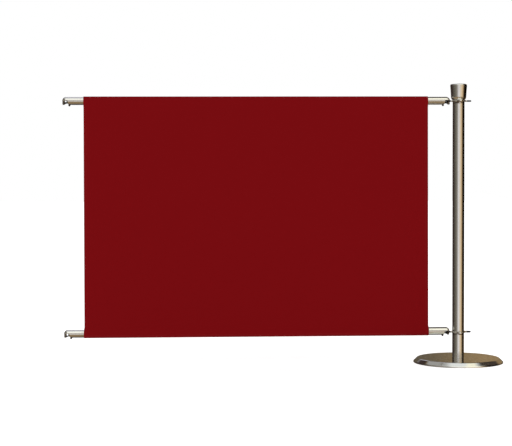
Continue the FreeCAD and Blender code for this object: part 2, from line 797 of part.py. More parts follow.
def write_everything():
    os.makedirs("parts", exist_ok=True)
    for node, piece in pieces.items():
        piece.Shape.exportStep("parts/%s.step" % node)
        print("%-24s %12.1f mm3" % (node, piece.Shape.Volume))


make_everything()
check_everything()
write_everything()
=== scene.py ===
"""Looks of the barrier post and its banner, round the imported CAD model. Metres, +Z up, post on the Z axis."""

import math

import bmesh
import bpy
from mathutils import Matrix, Vector


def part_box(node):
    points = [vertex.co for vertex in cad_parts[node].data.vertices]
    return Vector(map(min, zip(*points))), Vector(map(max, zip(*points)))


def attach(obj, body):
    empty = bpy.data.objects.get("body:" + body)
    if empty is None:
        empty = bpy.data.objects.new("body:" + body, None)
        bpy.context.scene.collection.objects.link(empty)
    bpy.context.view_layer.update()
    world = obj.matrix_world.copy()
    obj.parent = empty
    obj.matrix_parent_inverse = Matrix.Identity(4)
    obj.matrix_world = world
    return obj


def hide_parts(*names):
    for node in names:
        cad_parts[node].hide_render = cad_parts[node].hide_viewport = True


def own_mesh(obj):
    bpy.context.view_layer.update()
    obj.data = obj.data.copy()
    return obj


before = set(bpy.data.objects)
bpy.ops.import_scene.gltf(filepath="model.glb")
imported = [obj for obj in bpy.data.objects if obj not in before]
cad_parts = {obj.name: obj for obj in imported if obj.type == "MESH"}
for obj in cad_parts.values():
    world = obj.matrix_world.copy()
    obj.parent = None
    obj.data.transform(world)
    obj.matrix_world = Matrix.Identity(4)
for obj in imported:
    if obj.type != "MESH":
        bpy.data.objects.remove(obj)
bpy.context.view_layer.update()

ROWS = ("upper", "lower")

# --- Camera: stands in front of the banner, a little right of its middle ---------------------------------
CAMERA_PLACE = Vector((-0.9483, -5.0, 0.6797))
CAMERA_TURN = math.radians(2.532)  # to the right, away from straight ahead
CAMERA_TILT = math.radians(2.0)  # downwards
CAMERA_ROLL = math.radians(-0.17)
CAMERA_LENS = 98.7  # mm on a 36 mm wide sensor

# --- Hook ends ---------------------------------------------------------------------------------------------
SEAT_RISE = 0.0015  # from the crossbar's axis up to the flat seat
PRONG_SETBACK = 0.005  # from the nose's tip to the prong's axis
PRONG_SHADE_HALF = 0.0051  # the prong's painted shade reaches this far each side of its axis
PRONG_SHADE_REACH = 0.03  # and this far below the seat

# --- Painted shade on the plates' ears and on the post below the plates ------------------------------------
EAR_SHADE_START = 0.0262  # from the post's axis out to where an ear's painted shade begins
EAR_SHADE_FULL = 0.0300
PLATE_SHADE_BELOW = 0.0068  # the band of painted shade round the tube, from a plate's underside down and up
PLATE_SHADE_ABOVE = 0.002

# --- Cloth of the banner -----------------------------------------------------------------------------------
CLOTH_THICKNESS = 0.0012
WELD_LENGTH = 0.020  # the sleeve's end, welded flat to the back of the banner
WELD_DROP = 0.026  # from a bar's axis to where the weld starts
EDGING_WIDTH = 0.0105  # the sewn border round all four edges
EDGING_PROUD = 0.0003
EDGING_SLOPE = 0.0008  # over which the border comes down to the cloth
SEAM_INSET = 0.0095  # from an edge to the line of stitches
SEAM_DEPTH = 0.00035
SEAM_HALF = 0.0007  # half the width of the groove that the stitches pull in
RAW_EDGE = 0.0004  # the outermost strip of each side edge, thinned to a rounded edge
STITCH_LENGTH = 0.0034
STITCH_GAP = 0.0012
THREAD_RADIUS = 0.00028
RIPPLE_HEIGHT = 0.0011
FLARE_FOOT = 0.0022  # how much further out each side edge is at the foot than at the top
FLARE_SLEEVES = (0.0010, 0.0026)  # and further still on the upper and the lower sleeve, which are slack
SLEEVE_REACH = 1.6  # a sleeve's slack starts this many radii from its bar's axis, and is whole one radius on


# --- Colours, linear ---------------------------------------------------------------------------------------
def tone(red, green, blue):
    """Linear colour of a display colour given as 0 to 255."""
    linear = []
    for value in (red, green, blue):
        v = value / 255
        linear.append(v / 12.92 if v <= 0.04045 else ((v + 0.055) / 1.055) ** 2.4)
    return tuple(linear)


def scaled(colour, by):
    return tuple(channel * by for channel in colour)


STEEL = (0.62, 0.61, 0.59)
CLOTH_RED = (0.1535, 0.0012, 0.0026)
THREAD_RED = tone(126, 27, 25)


# --- Small helpers for node trees --------------------------------------------------------------------------
def add(tree, kind, inputs=None, **settings):
    """A new node: settings are its properties, and inputs maps a socket, by name or index, to its value."""
    node = tree.nodes.new(kind)
    for name, value in settings.items():
        setattr(node, name, value)
    for key, value in (inputs or {}).items():
        join(tree, value, node.inputs[key])
    return node


def join(tree, value, socket):
    """Links value to the socket if it is an output, or else sets it as the socket's value."""
    if isinstance(value, bpy.types.NodeSocket):
        tree.links.new(value, socket)
    elif isinstance(value, tuple) and len(value) == 3 and socket.type == "RGBA":
        socket.default_value = (*value, 1.0)
    else:
        socket.default_value = value


def maths(tree, operation, first, second=0.0, third=0.0, clamp=False):
    node = add(tree, "ShaderNodeMath", {0: first, 1: second, 2: third}, operation=operation, use_clamp=clamp)
    return node.outputs[0]


def ramped(tree, value, low, high, to_low=0.0, to_high=1.0):
    """value moved smoothly from to_low at low to to_high at high."""
    inputs = {"Value": value, "From Min": low, "From Max": high, "To Min": to_low, "To Max": to_high}
    return add(tree, "ShaderNodeMapRange", inputs, interpolation_type="SMOOTHSTEP").outputs[0]


def within(tree, value, low, high, soft):
    """1 inside the range and 0 outside, with soft edges."""
    rising = ramped(tree, value, low - soft / 2, low + soft / 2)
    falling = ramped(tree, value, high - soft / 2, high + soft / 2, 1.0, 0.0)
    return maths(tree, "MULTIPLY", rising, falling)


def mixed(tree, factor, first, second, blend="MIX"):
    node = add(tree, "ShaderNodeMix", {0: factor}, data_type="RGBA", blend_type=blend)
    join(tree, first, node.inputs[6])
    join(tree, second, node.inputs[7])
    return node.outputs[2]


def noise(tree, vector, scale, detail=2.0, roughness=0.5):
    inputs = {"Vector": vector, "Scale": scale, "Detail": detail, "Roughness": roughness}
    return add(tree, "ShaderNodeTexNoise", inputs).outputs[0]


def stretched(tree, vector, scale):
    """vector scaled by its own amount along each axis."""
    return add(tree, "ShaderNodeMapping", {"Vector": vector, "Scale": scale}).outputs[0]


def object_place(tree):
    return add(tree, "ShaderNodeTexCoord").outputs["Object"]


def split(tree, vector):
    """The X, Y and Z of a vector."""
    return add(tree, "ShaderNodeSeparateXYZ", {0: vector}).outputs


def ringed(tree, vector):
    """(distance from the Z axis, a little of the angle, height), for turned or spun parts."""
    flat = add(tree, "ShaderNodeVectorMath", {0: vector, 1: (1.0, 1.0, 0.0)}, operation="MULTIPLY")
    radius = add(tree, "ShaderNodeVectorMath", {0: flat.outputs[0]}, operation="LENGTH").outputs["Value"]
    x, y, z = split(tree, vector)
    turn = maths(tree, "MULTIPLY", maths(tree, "ARCTAN2", y, x), 0.0012)
    return add(tree, "ShaderNodeCombineXYZ", {0: radius, 1: turn, 2: z}).outputs[0]


def edge_wear_and_highlight(tree, radius, strength):
    """0 on flat and smooth faces, rising to 1 on sharp outer and inner edges."""
    rounded = add(tree, "ShaderNodeBevel", {"Radius": radius}, samples=4).outputs[0]
    true = add(tree, "ShaderNodeNewGeometry").outputs["Normal"]
    same = add(tree, "ShaderNodeVectorMath", {0: rounded, 1: true}, operation="DOT_PRODUCT").outputs["Value"]
    away = maths(tree, "SUBTRACT", 1.0, same)
    return maths(tree, "MULTIPLY", away, strength, clamp=True)


def shader_of(material):
    """A material's node tree and its Principled shader."""
    tree = material.node_tree
    return tree, next(node for node in tree.nodes if node.type == "BSDF_PRINCIPLED")


def new_material(name, **values):
    """A Principled material with these even values on its own sockets, and its tree and shader."""
    material = bpy.data.materials.new(name)
    material.use_nodes = True
    tree, shader = shader_of(material)
    for key, value in values.items():
        join(tree, value, shader.inputs[key.replace("_", " ")])
    return material, tree, shader


def bumped(tree, height, distance):
    return add(tree, "ShaderNodeBump", {"Height": height, "Distance": distance, "Strength": 1.0}).outputs[0]


def tinted(tree, shader, share, by):
    """Multiplies the colour that is already linked to the shader, fully where share is 1."""
    socket = shader.inputs["Base Color"]
    colour = socket.links[0].from_socket
    join(tree, mixed(tree, share, colour, by, blend="MULTIPLY"), socket)


# --- Materials ---------------------------------------------------------------------------------------------
def brushed_metal(name, tint, roughness, grain, axis="Z", spun=False, anisotropy=0.4, edge=0.0):
    """Metal with a fine grain. grain is how many marks a metre holds along each axis, after ringed() if spun.
    edge is how strongly its sharp edges are lightened, a painted highlight."""
    material, tree, shader = new_material(name, Metallic=1.0, Anisotropic=anisotropy)
    shader.inputs["Anisotropic Rotation"].default_value = 0.25
    place = object_place(tree)
    flow = ringed(tree, place) if spun else place
    marks = noise(tree, stretched(tree, flow, grain), 1.0, 3.0, 0.6)
    clouds = noise(tree, place, 9.0, 3.0, 0.55)
    smears = ramped(tree, noise(tree, stretched(tree, place, (26.0, 26.0, 11.0)), 1.0, 4.0, 0.6), 0.50, 0.72)
    grained = mixed(tree, marks, scaled(tint, 0.90), scaled(tint, 1.06))
    shaded = mixed(tree, maths(tree, "MULTIPLY", clouds, 0.22), grained, scaled(tint, 0.86))
    if edge:
        # painted highlight along the sharp edges
        bright = edge_wear_and_highlight(tree, 0.0008, edge)
        shaded = mixed(tree, maths(tree, "MULTIPLY", bright, 0.5), shaded, scaled(tint, 1.25))
    join(tree, shaded, shader.inputs["Base Color"])
    rough = maths(tree, "MULTIPLY_ADD", marks, 0.08, roughness - 0.04)
    join(tree, maths(tree, "MULTIPLY_ADD", smears, 0.04, rough), shader.inputs["Roughness"])
    join(tree, bumped(tree, marks, 0.00001), shader.inputs["Normal"])
    tangent = add(tree, "ShaderNodeTangent", direction_type="RADIAL", axis=axis).outputs[0]
    join(tree, tangent, shader.inputs["Tangent"])
    return material


def plate_metal(name, grain):
    """A hook plate: painted brighter than the other steel, a painted highlight on its collar, but for the two
    ears along the screen, which are painted dark with painted shade.
    """
    # the plate's steel is painted brighter: a painted highlight on its collar's rim
    material = brushed_metal(name, scaled(STEEL, 1.3), 0.20, grain, edge=1.2)
    tree, shader = shader_of(material)
    across = maths(tree, "ABSOLUTE", split(tree, object_place(tree))[0])
    # painted shade on the two ears: their colour and their reflection are both darkened
    ear_shade = ramped(tree, across, EAR_SHADE_START, EAR_SHADE_FULL)
    tinted(tree, shader, ear_shade, (0.012, 0.011, 0.010))
    join(tree, mixed(tree, ear_shade, (1.0, 1.0, 1.0), (0.02, 0.02, 0.02)), shader.inputs["Specular Tint"])
    return material


def post_metal(name, grain, undersides):
    """The post's tube, with patchy brown painted shade below the height of each plate's underside: the plate's
    shadow and its mirrored underside, painted into the colour.
    """
    material = brushed_metal(name, STEEL, 0.17, grain, spun=True)
    tree, shader = shader_of(material)
    place = object_place(tree)
    height = split(tree, place)[2]
    shade_patches = ramped(tree, noise(tree, place, 110.0, 2.0, 0.5), 0.44, 0.58)
    for underside in undersides:
        band = within(tree, height, underside - PLATE_SHADE_BELOW, underside + PLATE_SHADE_ABOVE, 0.003)
        # painted shade under each plate, darkening the tube in patches
        tinted(tree, shader, maths(tree, "MULTIPLY", band, shade_patches), (0.20, 0.15, 0.12))
    return material


def base_metal(name, grain, top_z):
    """The base's cover: spun, its flat top at top_z mottled with darker streaks, lightened a little, and mottled
    with a painted bluish reflection.
    """
    material = brushed_metal(name, STEEL, 0.11, grain, spun=True, anisotropy=0.3)
    tree, shader = shader_of(material)
    place = object_place(tree)
    streaks = ramped(tree, noise(tree, stretched(tree, place, (105.0, 22.0, 1.0)), 1.0, 3.0, 0.6), 0.40, 0.62)
    top = ramped(tree, split(tree, place)[2], top_z - 0.0006, top_z - 0.0001)
    tinted(tree, shader, maths(tree, "MULTIPLY", streaks, top), (0.80, 0.77, 0.73))
    tinted(tree, shader, top, (1.05, 1.05, 1.05))
    # painted bluish reflection, mottling the flat top
    painted_blue_reflection = ramped(tree, noise(tree, stretched(tree, place, (34.0, 12.0, 1.0)), 1.0, 4.0, 0.65), 0.42, 0.58)
    tinted(tree, shader, maths(tree, "MULTIPLY", painted_blue_reflection, top), (1.02, 1.09, 1.24))
    return material


def hook_metal(name, grain, prongs, seats):
    """The hook ends. Their prongs, straight down from the nose at each X of prongs, are painted dark with the
    painted shade of the hook's throat.
    """
    material = brushed_metal(name, STEEL, 0.17, grain, axis="X", edge=1.0)
    tree, shader = shader_of(material)
    x, _, z = split(tree, object_place(tree))
    for prong in prongs:
        beside = within(tree, x, prong - PRONG_SHADE_HALF, prong + PRONG_SHADE_HALF, 0.0006)
        for seat in seats:
            below = within(tree, z, seat - PRONG_SHADE_REACH, seat - 0.0003, 0.0006)
            # painted shade on the prongs
            tinted(tree, shader, maths(tree, "MULTIPLY", beside, below), (0.22, 0.19, 0.16))
    return material


def plain_metal(name, tint, roughness, edge=1.5):
    """Small turned or pressed hardware: faint machining marks, dull spots and brighter edges, which are rubbed
    wear on the black steel and a painted highlight on the bare metal.
    """
    material, tree, shader = new_material(name, Metallic=1.0)
    place = object_place(tree)
    marks = noise(tree, place, 900.0, 2.0, 0.5)
    spots = ramped(tree, noise(tree, place, 140.0, 3.0, 0.6), 0.45, 0.70)
    body = mixed(tree, marks, scaled(tint, 0.88), scaled(tint, 1.08))
    dulled = mixed(tree, maths(tree, "MULTIPLY", spots, 0.35), body, scaled(tint, 0.62))
    # brighter edges: rubbed wear on the black steel, a painted highlight on the bare metal
    bright = edge_wear_and_highlight(tree, 0.0005, edge)
    join(tree, mixed(tree, bright, dulled, scaled(tint, 1.3)), shader.inputs["Base Color"])
    join(tree, maths(tree, "MULTIPLY_ADD", spots, 0.16, roughness), shader.inputs["Roughness"])
    join(tree, bumped(tree, marks, 0.00002), shader.inputs["Normal"])
    return material


def moulded(name, tint, worn_tint, roughness, grain, depth):
    """Moulded plastic or rubber: a fine spark texture, cloudy gloss and paler scuffed edges."""
    material, tree, shader = new_material(name)
    place = object_place(tree)
    pits = noise(tree, place, grain, 3.0, 0.6)
    scuffs = ramped(tree, noise(tree, place, 160.0, 4.0, 0.65), 0.48, 0.68)
    edges = edge_wear_and_highlight(tree, 0.0006, 2.2)
    wear = maths(tree, "MULTIPLY", edges, maths(tree, "ADD", scuffs, 0.25), clamp=True)
    speckled = mixed(tree, pits, scaled(tint, 0.8), scaled(tint, 1.25))
    join(tree, mixed(tree, wear, speckled, worn_tint), shader.inputs["Base Color"])
    join(tree, maths(tree, "MULTIPLY_ADD", scuffs, 0.14, roughness), shader.inputs["Roughness"])
    join(tree, bumped(tree, pits, depth), shader.inputs["Normal"])
    return material


def painted_casting(name, tint):
    """Thick dark paint over a rough cast weight."""
    material, tree, shader = new_material(name)
    place = object_place(tree)
    grit = noise(tree, place, 260.0, 5.0, 0.65)
    chips = ramped(tree, noise(tree, place, 75.0, 5.0, 0.7), 0.66, 0.70)
    coat = mixed(tree, grit, scaled(tint, 0.75), scaled(tint, 1.3))
    join(tree, mixed(tree, chips, coat, tone(96, 84, 74)), shader.inputs["Base Color"])
    join(tree, maths(tree, "MULTIPLY_ADD", grit, 0.3, 0.45), shader.inputs["Roughness"])
    join(tree, bumped(tree, grit, 0.0006), shader.inputs["Normal"])
    return material


def woven_cloth(name, tint, pale):
    """Close plain-woven polyester: threads both ways, slubs and a faint cloudiness of the dye."""
    material, tree, shader = new_material(name)
    shader.inputs["Specular IOR Level"].default_value = 0.06
    place = object_place(tree)
    x, _, z = split(tree, place)
    threads = 2 * math.pi / 0.0007  # a thread and its gap every 0.7 mm
    across = maths(tree, "SINE", maths(tree, "MULTIPLY", x, threads))
    along = maths(tree, "SINE", maths(tree, "MULTIPLY", z, threads))
    weave = maths(tree, "MULTIPLY", across, along)
    slubs = noise(tree, stretched(tree, place, (60.0, 60.0, 1400.0)), 1.0, 2.0, 0.6)
    dye = noise(tree, place, 4.0, 4.0, 0.6)
    thread = mixed(tree, slubs, scaled(tint, 0.93), scaled(tint, 1.06))
    cloudy = mixed(tree, maths(tree, "MULTIPLY", dye, 0.25), thread, pale)
    join(tree, cloudy, shader.inputs["Base Color"])
    join(tree, maths(tree, "MULTIPLY_ADD", slubs, 0.12, 0.80), shader.inputs["Roughness"])
    height = maths(tree, "ADD", maths(tree, "MULTIPLY", weave, 0.35), slubs)
    join(tree, bumped(tree, height, 0.00004), shader.inputs["Normal"])
    return material


def thread_material(name, tint):
    """Twisted sewing thread: fine turns along it and a low sheen."""
    material, tree, shader = new_material(name)
    shader.inputs["Specular IOR Level"].default_value = 0.2
    place = object_place(tree)
    twist = noise(tree, place, 5200.0, 2.0, 0.5)
    join(tree, mixed(tree, twist, scaled(tint, 0.8), scaled(tint, 1.2)), shader.inputs["Base Color"])
    join(tree, maths(tree, "MULTIPLY_ADD", twist, 0.15, 0.62), shader.inputs["Roughness"])
    join(tree, bumped(tree, twist, 0.00003), shader.inputs["Normal"])
    return material


def axis_height(node):
    """The height of the axis of a bar, or of a hook end on it."""
    low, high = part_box(node)
    return (low.z + high.z) / 2


def make_finishes():
    """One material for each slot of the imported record."""
    undersides = [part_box(row + "_hook_plate")[0].z for row in ROWS]
    seats = [axis_height(row + "_post_hook") + SEAT_RISE for row in ROWS]
    prongs = (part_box("upper_post_hook")[1].x - PRONG_SETBACK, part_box("upper_free_hook")[0].x + PRONG_SETBACK)
    base_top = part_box("base_cover")[1].z
    # Grains, as brushed_metal() takes them: rings round the tube, spun rings, and lines along a bar.
    round_z = (16.0, 60.0, 2600.0)
    rings = (2400.0, 60.0, 2400.0)
    along_x = (9.0, 1500.0, 1500.0)
    return {
        "post_steel": post_metal("post_steel", round_z, undersides),
        "cap_steel": brushed_metal("cap_steel", STEEL, 0.17, rings, spun=True),
        "base_steel": base_metal("base_steel", rings, base_top),
        "plate_steel": plate_metal("plate_steel", (1500.0, 40.0, 1500.0)),
        "bar_steel": brushed_metal("bar_steel", STEEL, 0.15, along_x, axis="X"),
        "hook_steel": hook_metal("hook_steel", (1800.0, 90.0, 90.0), prongs, seats),
        "hub_aluminium": brushed_metal("hub_aluminium", (0.71, 0.72, 0.73), 0.30, rings, spun=True),
        "pin_steel": plain_metal("pin_steel", (0.58, 0.57, 0.55), 0.28),
        "spring_steel": plain_metal("spring_steel", (0.46, 0.45, 0.44), 0.32),
        "zinc_steel": plain_metal("zinc_steel", (0.60, 0.62, 0.64), 0.34),
        "black_steel": plain_metal("black_steel", (0.085, 0.075, 0.062), 0.38, edge=2.5),
        "black_nylon": moulded("black_nylon", tone(9, 8, 8), tone(44, 42, 41), 0.42, 1500.0, 0.00004),
        "mat_rubber": moulded("mat_rubber", tone(24, 24, 25), tone(62, 62, 62), 0.72, 700.0, 0.00015),
        "weight_paint": painted_casting("weight_paint", tone(48, 48, 50)),
        "banner_cloth": woven_cloth("banner_cloth", CLOTH_RED, scaled(CLOTH_RED, 1.12)),
    }


def dress_frame(finishes):
    """Gives each CAD node the detailed material of the slot that it was packed with."""
    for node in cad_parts.values():
        for place in node.material_slots:
            packed = place.material.name.split(".")[0]
            place.material = finishes[packed]


# --- Latch springs -----------------------------------------------------------------------------------------
def make_coils():
    """The four latch springs again, as copies of their own on the screen's body."""
    for row in ROWS:
        for end in ("post", "free"):
            name = f"{row}_{end}_spring"
            coil = bpy.data.objects.new(f"{row}_{end}_coil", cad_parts[name].data.copy())
            bpy.context.scene.collection.objects.link(coil)
            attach(coil, "screen")
            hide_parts(name)
            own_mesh(coil)


# --- Banner ------------------------------------------------------------------------------------------------
def arc_points(radius, start, end, step):
    """Points and outward directions on an arc about the X axis, angles from -Y towards +Z."""
    count = max(2, math.ceil(abs(end - start) / step))
    made = []
    for i in range(count + 1):
        angle = start + (end - start) * i / count
        out = Vector((0, -math.cos(angle), math.sin(angle)))
        made.append((out * radius, out))
    return made


def straight_points(start, end, out, step):
    """Points from start to end, at most step apart, all with the same outward direction."""
    count = max(1, math.ceil((end - start).length / step))
    return [(start.lerp(end, i / count), out) for i in range(count + 1)]


def sleeve_end(axis_z, radius, way):
    """Points of a sleeve from its welded end to its bar's front. way is 1 at the top and -1 at the foot."""
    back = -radius + CLOTH_THICKNESS * 1.08
    weld_z = axis_z - way * WELD_DROP
    weld_start = Vector((0, back, weld_z - way * WELD_LENGTH))
    weld_end = Vector((0, back, weld_z))
    behind = Vector((0, 1, 0))
    # From the weld the cloth runs straight to where it meets the bend round the bar at a tangent.
    to_centre = Vector((0, 0, axis_z)) - weld_end
    distance = to_centre.length
    seen = math.atan2(to_centre.z * way, to_centre.y)
    lean = seen - math.asin(radius / distance)
    run = math.sqrt(distance**2 - radius**2)
    touch = weld_end + Vector((0, math.cos(lean), way * math.sin(lean))) * run
    slope_out = Vector((0, math.sin(lean), -way * math.cos(lean)))
    start_angle = math.atan2((touch.z - axis_z) * way, -touch.y)
    if start_angle < 0:
        start_angle += 2 * math.pi
    points = straight_points(weld_start, weld_end, behind, 0.005)[:-1]
    points.append((weld_end, (behind + slope_out).normalized()))
    points += straight_points(weld_end, touch, slope_out, 0.005)[1:-1]
    for place, out in arc_points(radius, start_angle, 0.0, math.radians(6)):
        points.append((Vector((0, place.y, axis_z + way * place.z)), Vector((0, out.y, way * out.z))))
    return points


def banner_profile(top_z, foot_z, radius):
    """Middle line of the cloth: from the upper weld over its bar, down the front and round the lower bar."""
    upper = sleeve_end(top_z, radius, 1)
    lower = sleeve_end(foot_z, radius, -1)
    front = straight_points(upper[-1][0], lower[-1][0], Vector((0, -1, 0)), 0.008)
    return upper + front[1:-1] + list(reversed(lower))


def ripple(x, share):
    """How far the stretched cloth stands off its plane: faint folds that die out at both bars."""
    hold = math.sin(math.pi * share) ** 0.7
    wide = math.sin(5.1 * x + 0.8 + 1.1 * share) + 0.6 * math.sin(11.3 * x - 0.5 + 0.7 * math.sin(3 * share))
    fine = 0.25 * math.sin(23.0 * x + 2.1 + 2.2 * share)
    return RIPPLE_HEIGHT * hold * (wide + fine)


def border_height(inset):
    """Height of the sewn border over the cloth, this far in from an edge."""
    if inset < 0 or inset > EDGING_WIDTH + EDGING_SLOPE:
        return 0.0
    if inset > EDGING_WIDTH:
        return EDGING_PROUD * (1 - (inset - EDGING_WIDTH) / EDGING_SLOPE)
    groove = max(0.0, 1 - abs(inset - SEAM_INSET) / SEAM_HALF)
    return EDGING_PROUD - SEAM_DEPTH * groove


# Insets from an edge at which the height of the sewn border changes.
BORDER_STEPS = (
    SEAM_INSET - SEAM_HALF,
    SEAM_INSET,
    SEAM_INSET + SEAM_HALF,
    EDGING_WIDTH,
    EDGING_WIDTH + EDGING_SLOPE,
)


def column_places(low, high):
    """X of the cloth's columns: close together in the border, wider in the field."""
    border = [0.0, RAW_EDGE, 0.0015, 0.005, *BORDER_STEPS]
    inner_low = low + border[-1]
    inner_high = high - border[-1]
    count = round((inner_high - inner_low) / 0.008)
    field = [inner_low + (inner_high - inner_low) * i / count for i in range(1, count)]
    return [low + b for b in border] + field + [high - b for b in reversed(border)]


class Cloth:
    """Where the banner's middle surface lies, and how deep its border is, at each point of its grid."""

    def __init__(self):
        low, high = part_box("banner")
        self.low_x, self.high_x = low.x, high.x
        self.top_bar_z = axis_height("upper_crossbar")
        self.foot_bar_z = axis_height("lower_crossbar")
        self.radius = -low.y - CLOTH_THICKNESS / 2
        self.top_z = self.top_bar_z + self.radius
        self.foot_z = self.foot_bar_z - self.radius
        self.profile = banner_profile(self.top_bar_z, self.foot_bar_z, self.radius)

    def refined(self):
        """The profile with extra rows where the border's edge and seam cross the two sleeves."""
        made = []
        for first, second in zip(self.profile, self.profile[1:]):
            made.append(first)
            if max(first[0].y, second[0].y) > -0.004:
                continue  # not on the front, where the border is
            shares = set()
            for inset in BORDER_STEPS:
                for level in (self.top_z - inset, self.foot_z + inset):
                    rise = second[0].z - first[0].z
                    if abs(rise) > 1e-7 and 0.02 < (level - first[0].z) / rise < 0.98:
                        shares.add((level - first[0].z) / rise)
            for share in sorted(shares):
                out = first[1].lerp(second[1], share).normalized()
                made.append((self.on_line(first[0].lerp(second[0], share), out), out))
        made.append(self.profile[-1])
        return made

    def on_line(self, place, out):
        """place moved back onto the bend round a bar, if it is beside one."""
        for axis_z, beyond in ((self.top_bar_z, 1), (self.foot_bar_z, -1)):
            if (place.z - axis_z) * beyond > 0:
                return Vector((0, 0, axis_z)) + out * self.radius
        return place

    def inset(self, x, place):
        """Distance in from the nearest edge, where the back of the sleeves has only the two side edges."""
        sides = min(x - self.low_x, self.high_x - x)
        ends = min(self.top_z - place.z, place.z - self.foot_z)
        return min(sides, ends) if place.y < -self.radius * 0.02 else sides

    def flared(self, x, z):
        """x moved out with its side edge, which slants out towards the foot and bulges on both sleeves."""
        share = (self.top_bar_z - z) / (self.top_bar_z - self.foot_bar_z)
        flare = FLARE_FOOT * min(max(share, 0.0), 1.0)
        for bulge, distance in zip(FLARE_SLEEVES, (self.top_bar_z - z, z - self.foot_bar_z)):
            flare += bulge * min(max(SLEEVE_REACH - distance / self.radius, 0.0), 1.0)
        middle = (self.low_x + self.high_x) / 2
        return x + flare * (x - middle) / (self.high_x - middle)

    def front_at(self, z):
        """The front of the middle line at height z, and its outward direction there."""
        for axis_z, beyond in ((self.top_bar_z, 1), (self.foot_bar_z, -1)):
            if (z - axis_z) * beyond > 0:
                rise = (z - axis_z) * beyond / self.radius
                out = Vector((0, -math.sqrt(1 - rise**2), beyond * rise))
                return Vector((0, 0, axis_z)) + out * self.radius, out
        return Vector((0, -self.radius, z)), Vector((0, -1, 0))

    def surface(self, x, place, out, side):
        """A point of the cloth's outer (side 1) or inner (side -1) face."""
        share = (place.z - self.foot_bar_z) / (self.top_bar_z - self.foot_bar_z)
        held = ripple(x, share) if 0 < share < 1 and place.y < -self.radius * 0.8 else 0.0
        depth = CLOTH_THICKNESS / 2
        if side > 0:
            depth += border_height(self.inset(x, place))
        edge = min(x - self.low_x, self.high_x - x)
        if edge < RAW_EDGE:
            depth *= 0.35 + 0.65 * edge / RAW_EDGE
        return Vector((self.flared(x, place.z), place.y + held, place.z)) + out * (side * depth)


def make_banner(material):
    """The cloth as one closed sheet with its sleeves round both bars."""
    cloth = Cloth()
    rows = cloth.refined()
    columns = column_places(cloth.low_x, cloth.high_x)
    mesh = bmesh.new()
    faces = {}
    for side in (1, -1):
        faces[side] = [[mesh.verts.new(cloth.surface(x, p, out, side)) for x in columns] for p, out in rows]
    front, back = faces[1], faces[-1]
    last_row, last_column = len(rows) - 1, len(columns) - 1
    for r in range(last_row):
        for c in range(last_column):
            mesh.faces.new((front[r][c], front[r + 1][c], front[r + 1][c + 1], front[r][c + 1]))
            mesh.faces.new((back[r][c + 1], back[r + 1][c + 1], back[r + 1][c], back[r][c]))
    for c in range(last_column):
        for r, turn in ((0, 1), (last_row, -1)):
            ring = [front[r][c], front[r][c + 1], back[r][c + 1], back[r][c]]
            mesh.faces.new(ring[::turn])
    for r in range(last_row):
        for c, turn in ((0, -1), (last_column, 1)):
            ring = [front[r][c], front[r + 1][c], back[r + 1][c], back[r][c]]
            mesh.faces.new(ring[::turn])
    bmesh.ops.recalc_face_normals(mesh, faces=mesh.faces)
    piece = piece_from(mesh, "banner_sheet", material)
    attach(piece, "screen")
    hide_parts("banner")
    return piece, cloth


def piece_from(mesh, name, material):
    """A smooth-shaded object made of a bmesh, which is freed."""
    data = bpy.data.meshes.new(name)
    mesh.to_mesh(data)
    mesh.free()
    data.materials.append(material)
    for polygon in data.polygons:
        polygon.use_smooth = True
    piece = bpy.data.objects.new(name, data)
    bpy.context.scene.collection.objects.link(piece)
    return piece


# A stitch's sections: how far along it, how high over the cloth and how thick, in radii of the thread.
STITCH_SECTIONS = (
    (0.0, -0.8, 0.7),
    (0.18, 0.25, 1.0),
    (0.5, 0.45, 1.05),
    (0.82, 0.25, 1.0),
    (1.0, -0.8, 0.7),
)


def add_stitch(mesh, start, end, out):
    """One stitch: a short thread that dips into the cloth at both ends."""
    along = (end - start).normalized()
    across = along.cross(out).normalized()
    rings = []
    for share, lift, size in STITCH_SECTIONS:
        centre = start.lerp(end, share) + out * (THREAD_RADIUS * lift)
        ring = []
        for i in range(6):
            angle = math.pi * i / 3
            spoke = across * math.cos(angle) + out * math.sin(angle)
            ring.append(mesh.verts.new(centre + spoke * (THREAD_RADIUS * size)))
        rings.append(ring)
    for first, second in zip(rings, rings[1:]):
        for i in range(6):
            j = (i + 1) % 6
            mesh.faces.new((first[i], first[j], second[j], second[i]))
    mesh.faces.new(rings[0][::-1])
    mesh.faces.new(rings[-1])


def make_stitches(cloth, material):
    """The line of stitches along the border, on the front of the banner."""
    mesh = bmesh.new()
    step = STITCH_LENGTH + STITCH_GAP
    low_x, high_x = cloth.low_x + SEAM_INSET, cloth.high_x - SEAM_INSET
    low_z, high_z = cloth.foot_z + SEAM_INSET, cloth.top_z - SEAM_INSET
    for z in (high_z, low_z):
        place, out = cloth.front_at(z)
        for i in range(int((high_x - low_x) / step)):
            x = low_x + step * i
            ends = [cloth.surface(at, place, out, 1) for at in (x, x + STITCH_LENGTH)]
            add_stitch(mesh, ends[0], ends[1], out)
    for x in (low_x, high_x):
        for i in range(int((high_z - low_z) / step)):
            ends = []
            for z in (low_z + step * i, low_z + step * i + STITCH_LENGTH):
                place, out = cloth.front_at(z)
                ends.append(cloth.surface(x, place, out, 1))
            add_stitch(mesh, ends[0], ends[1], out)
    bmesh.ops.recalc_face_normals(mesh, faces=mesh.faces)
    piece = piece_from(mesh, "banner_stitching", material)
    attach(piece, "screen")
    return piece


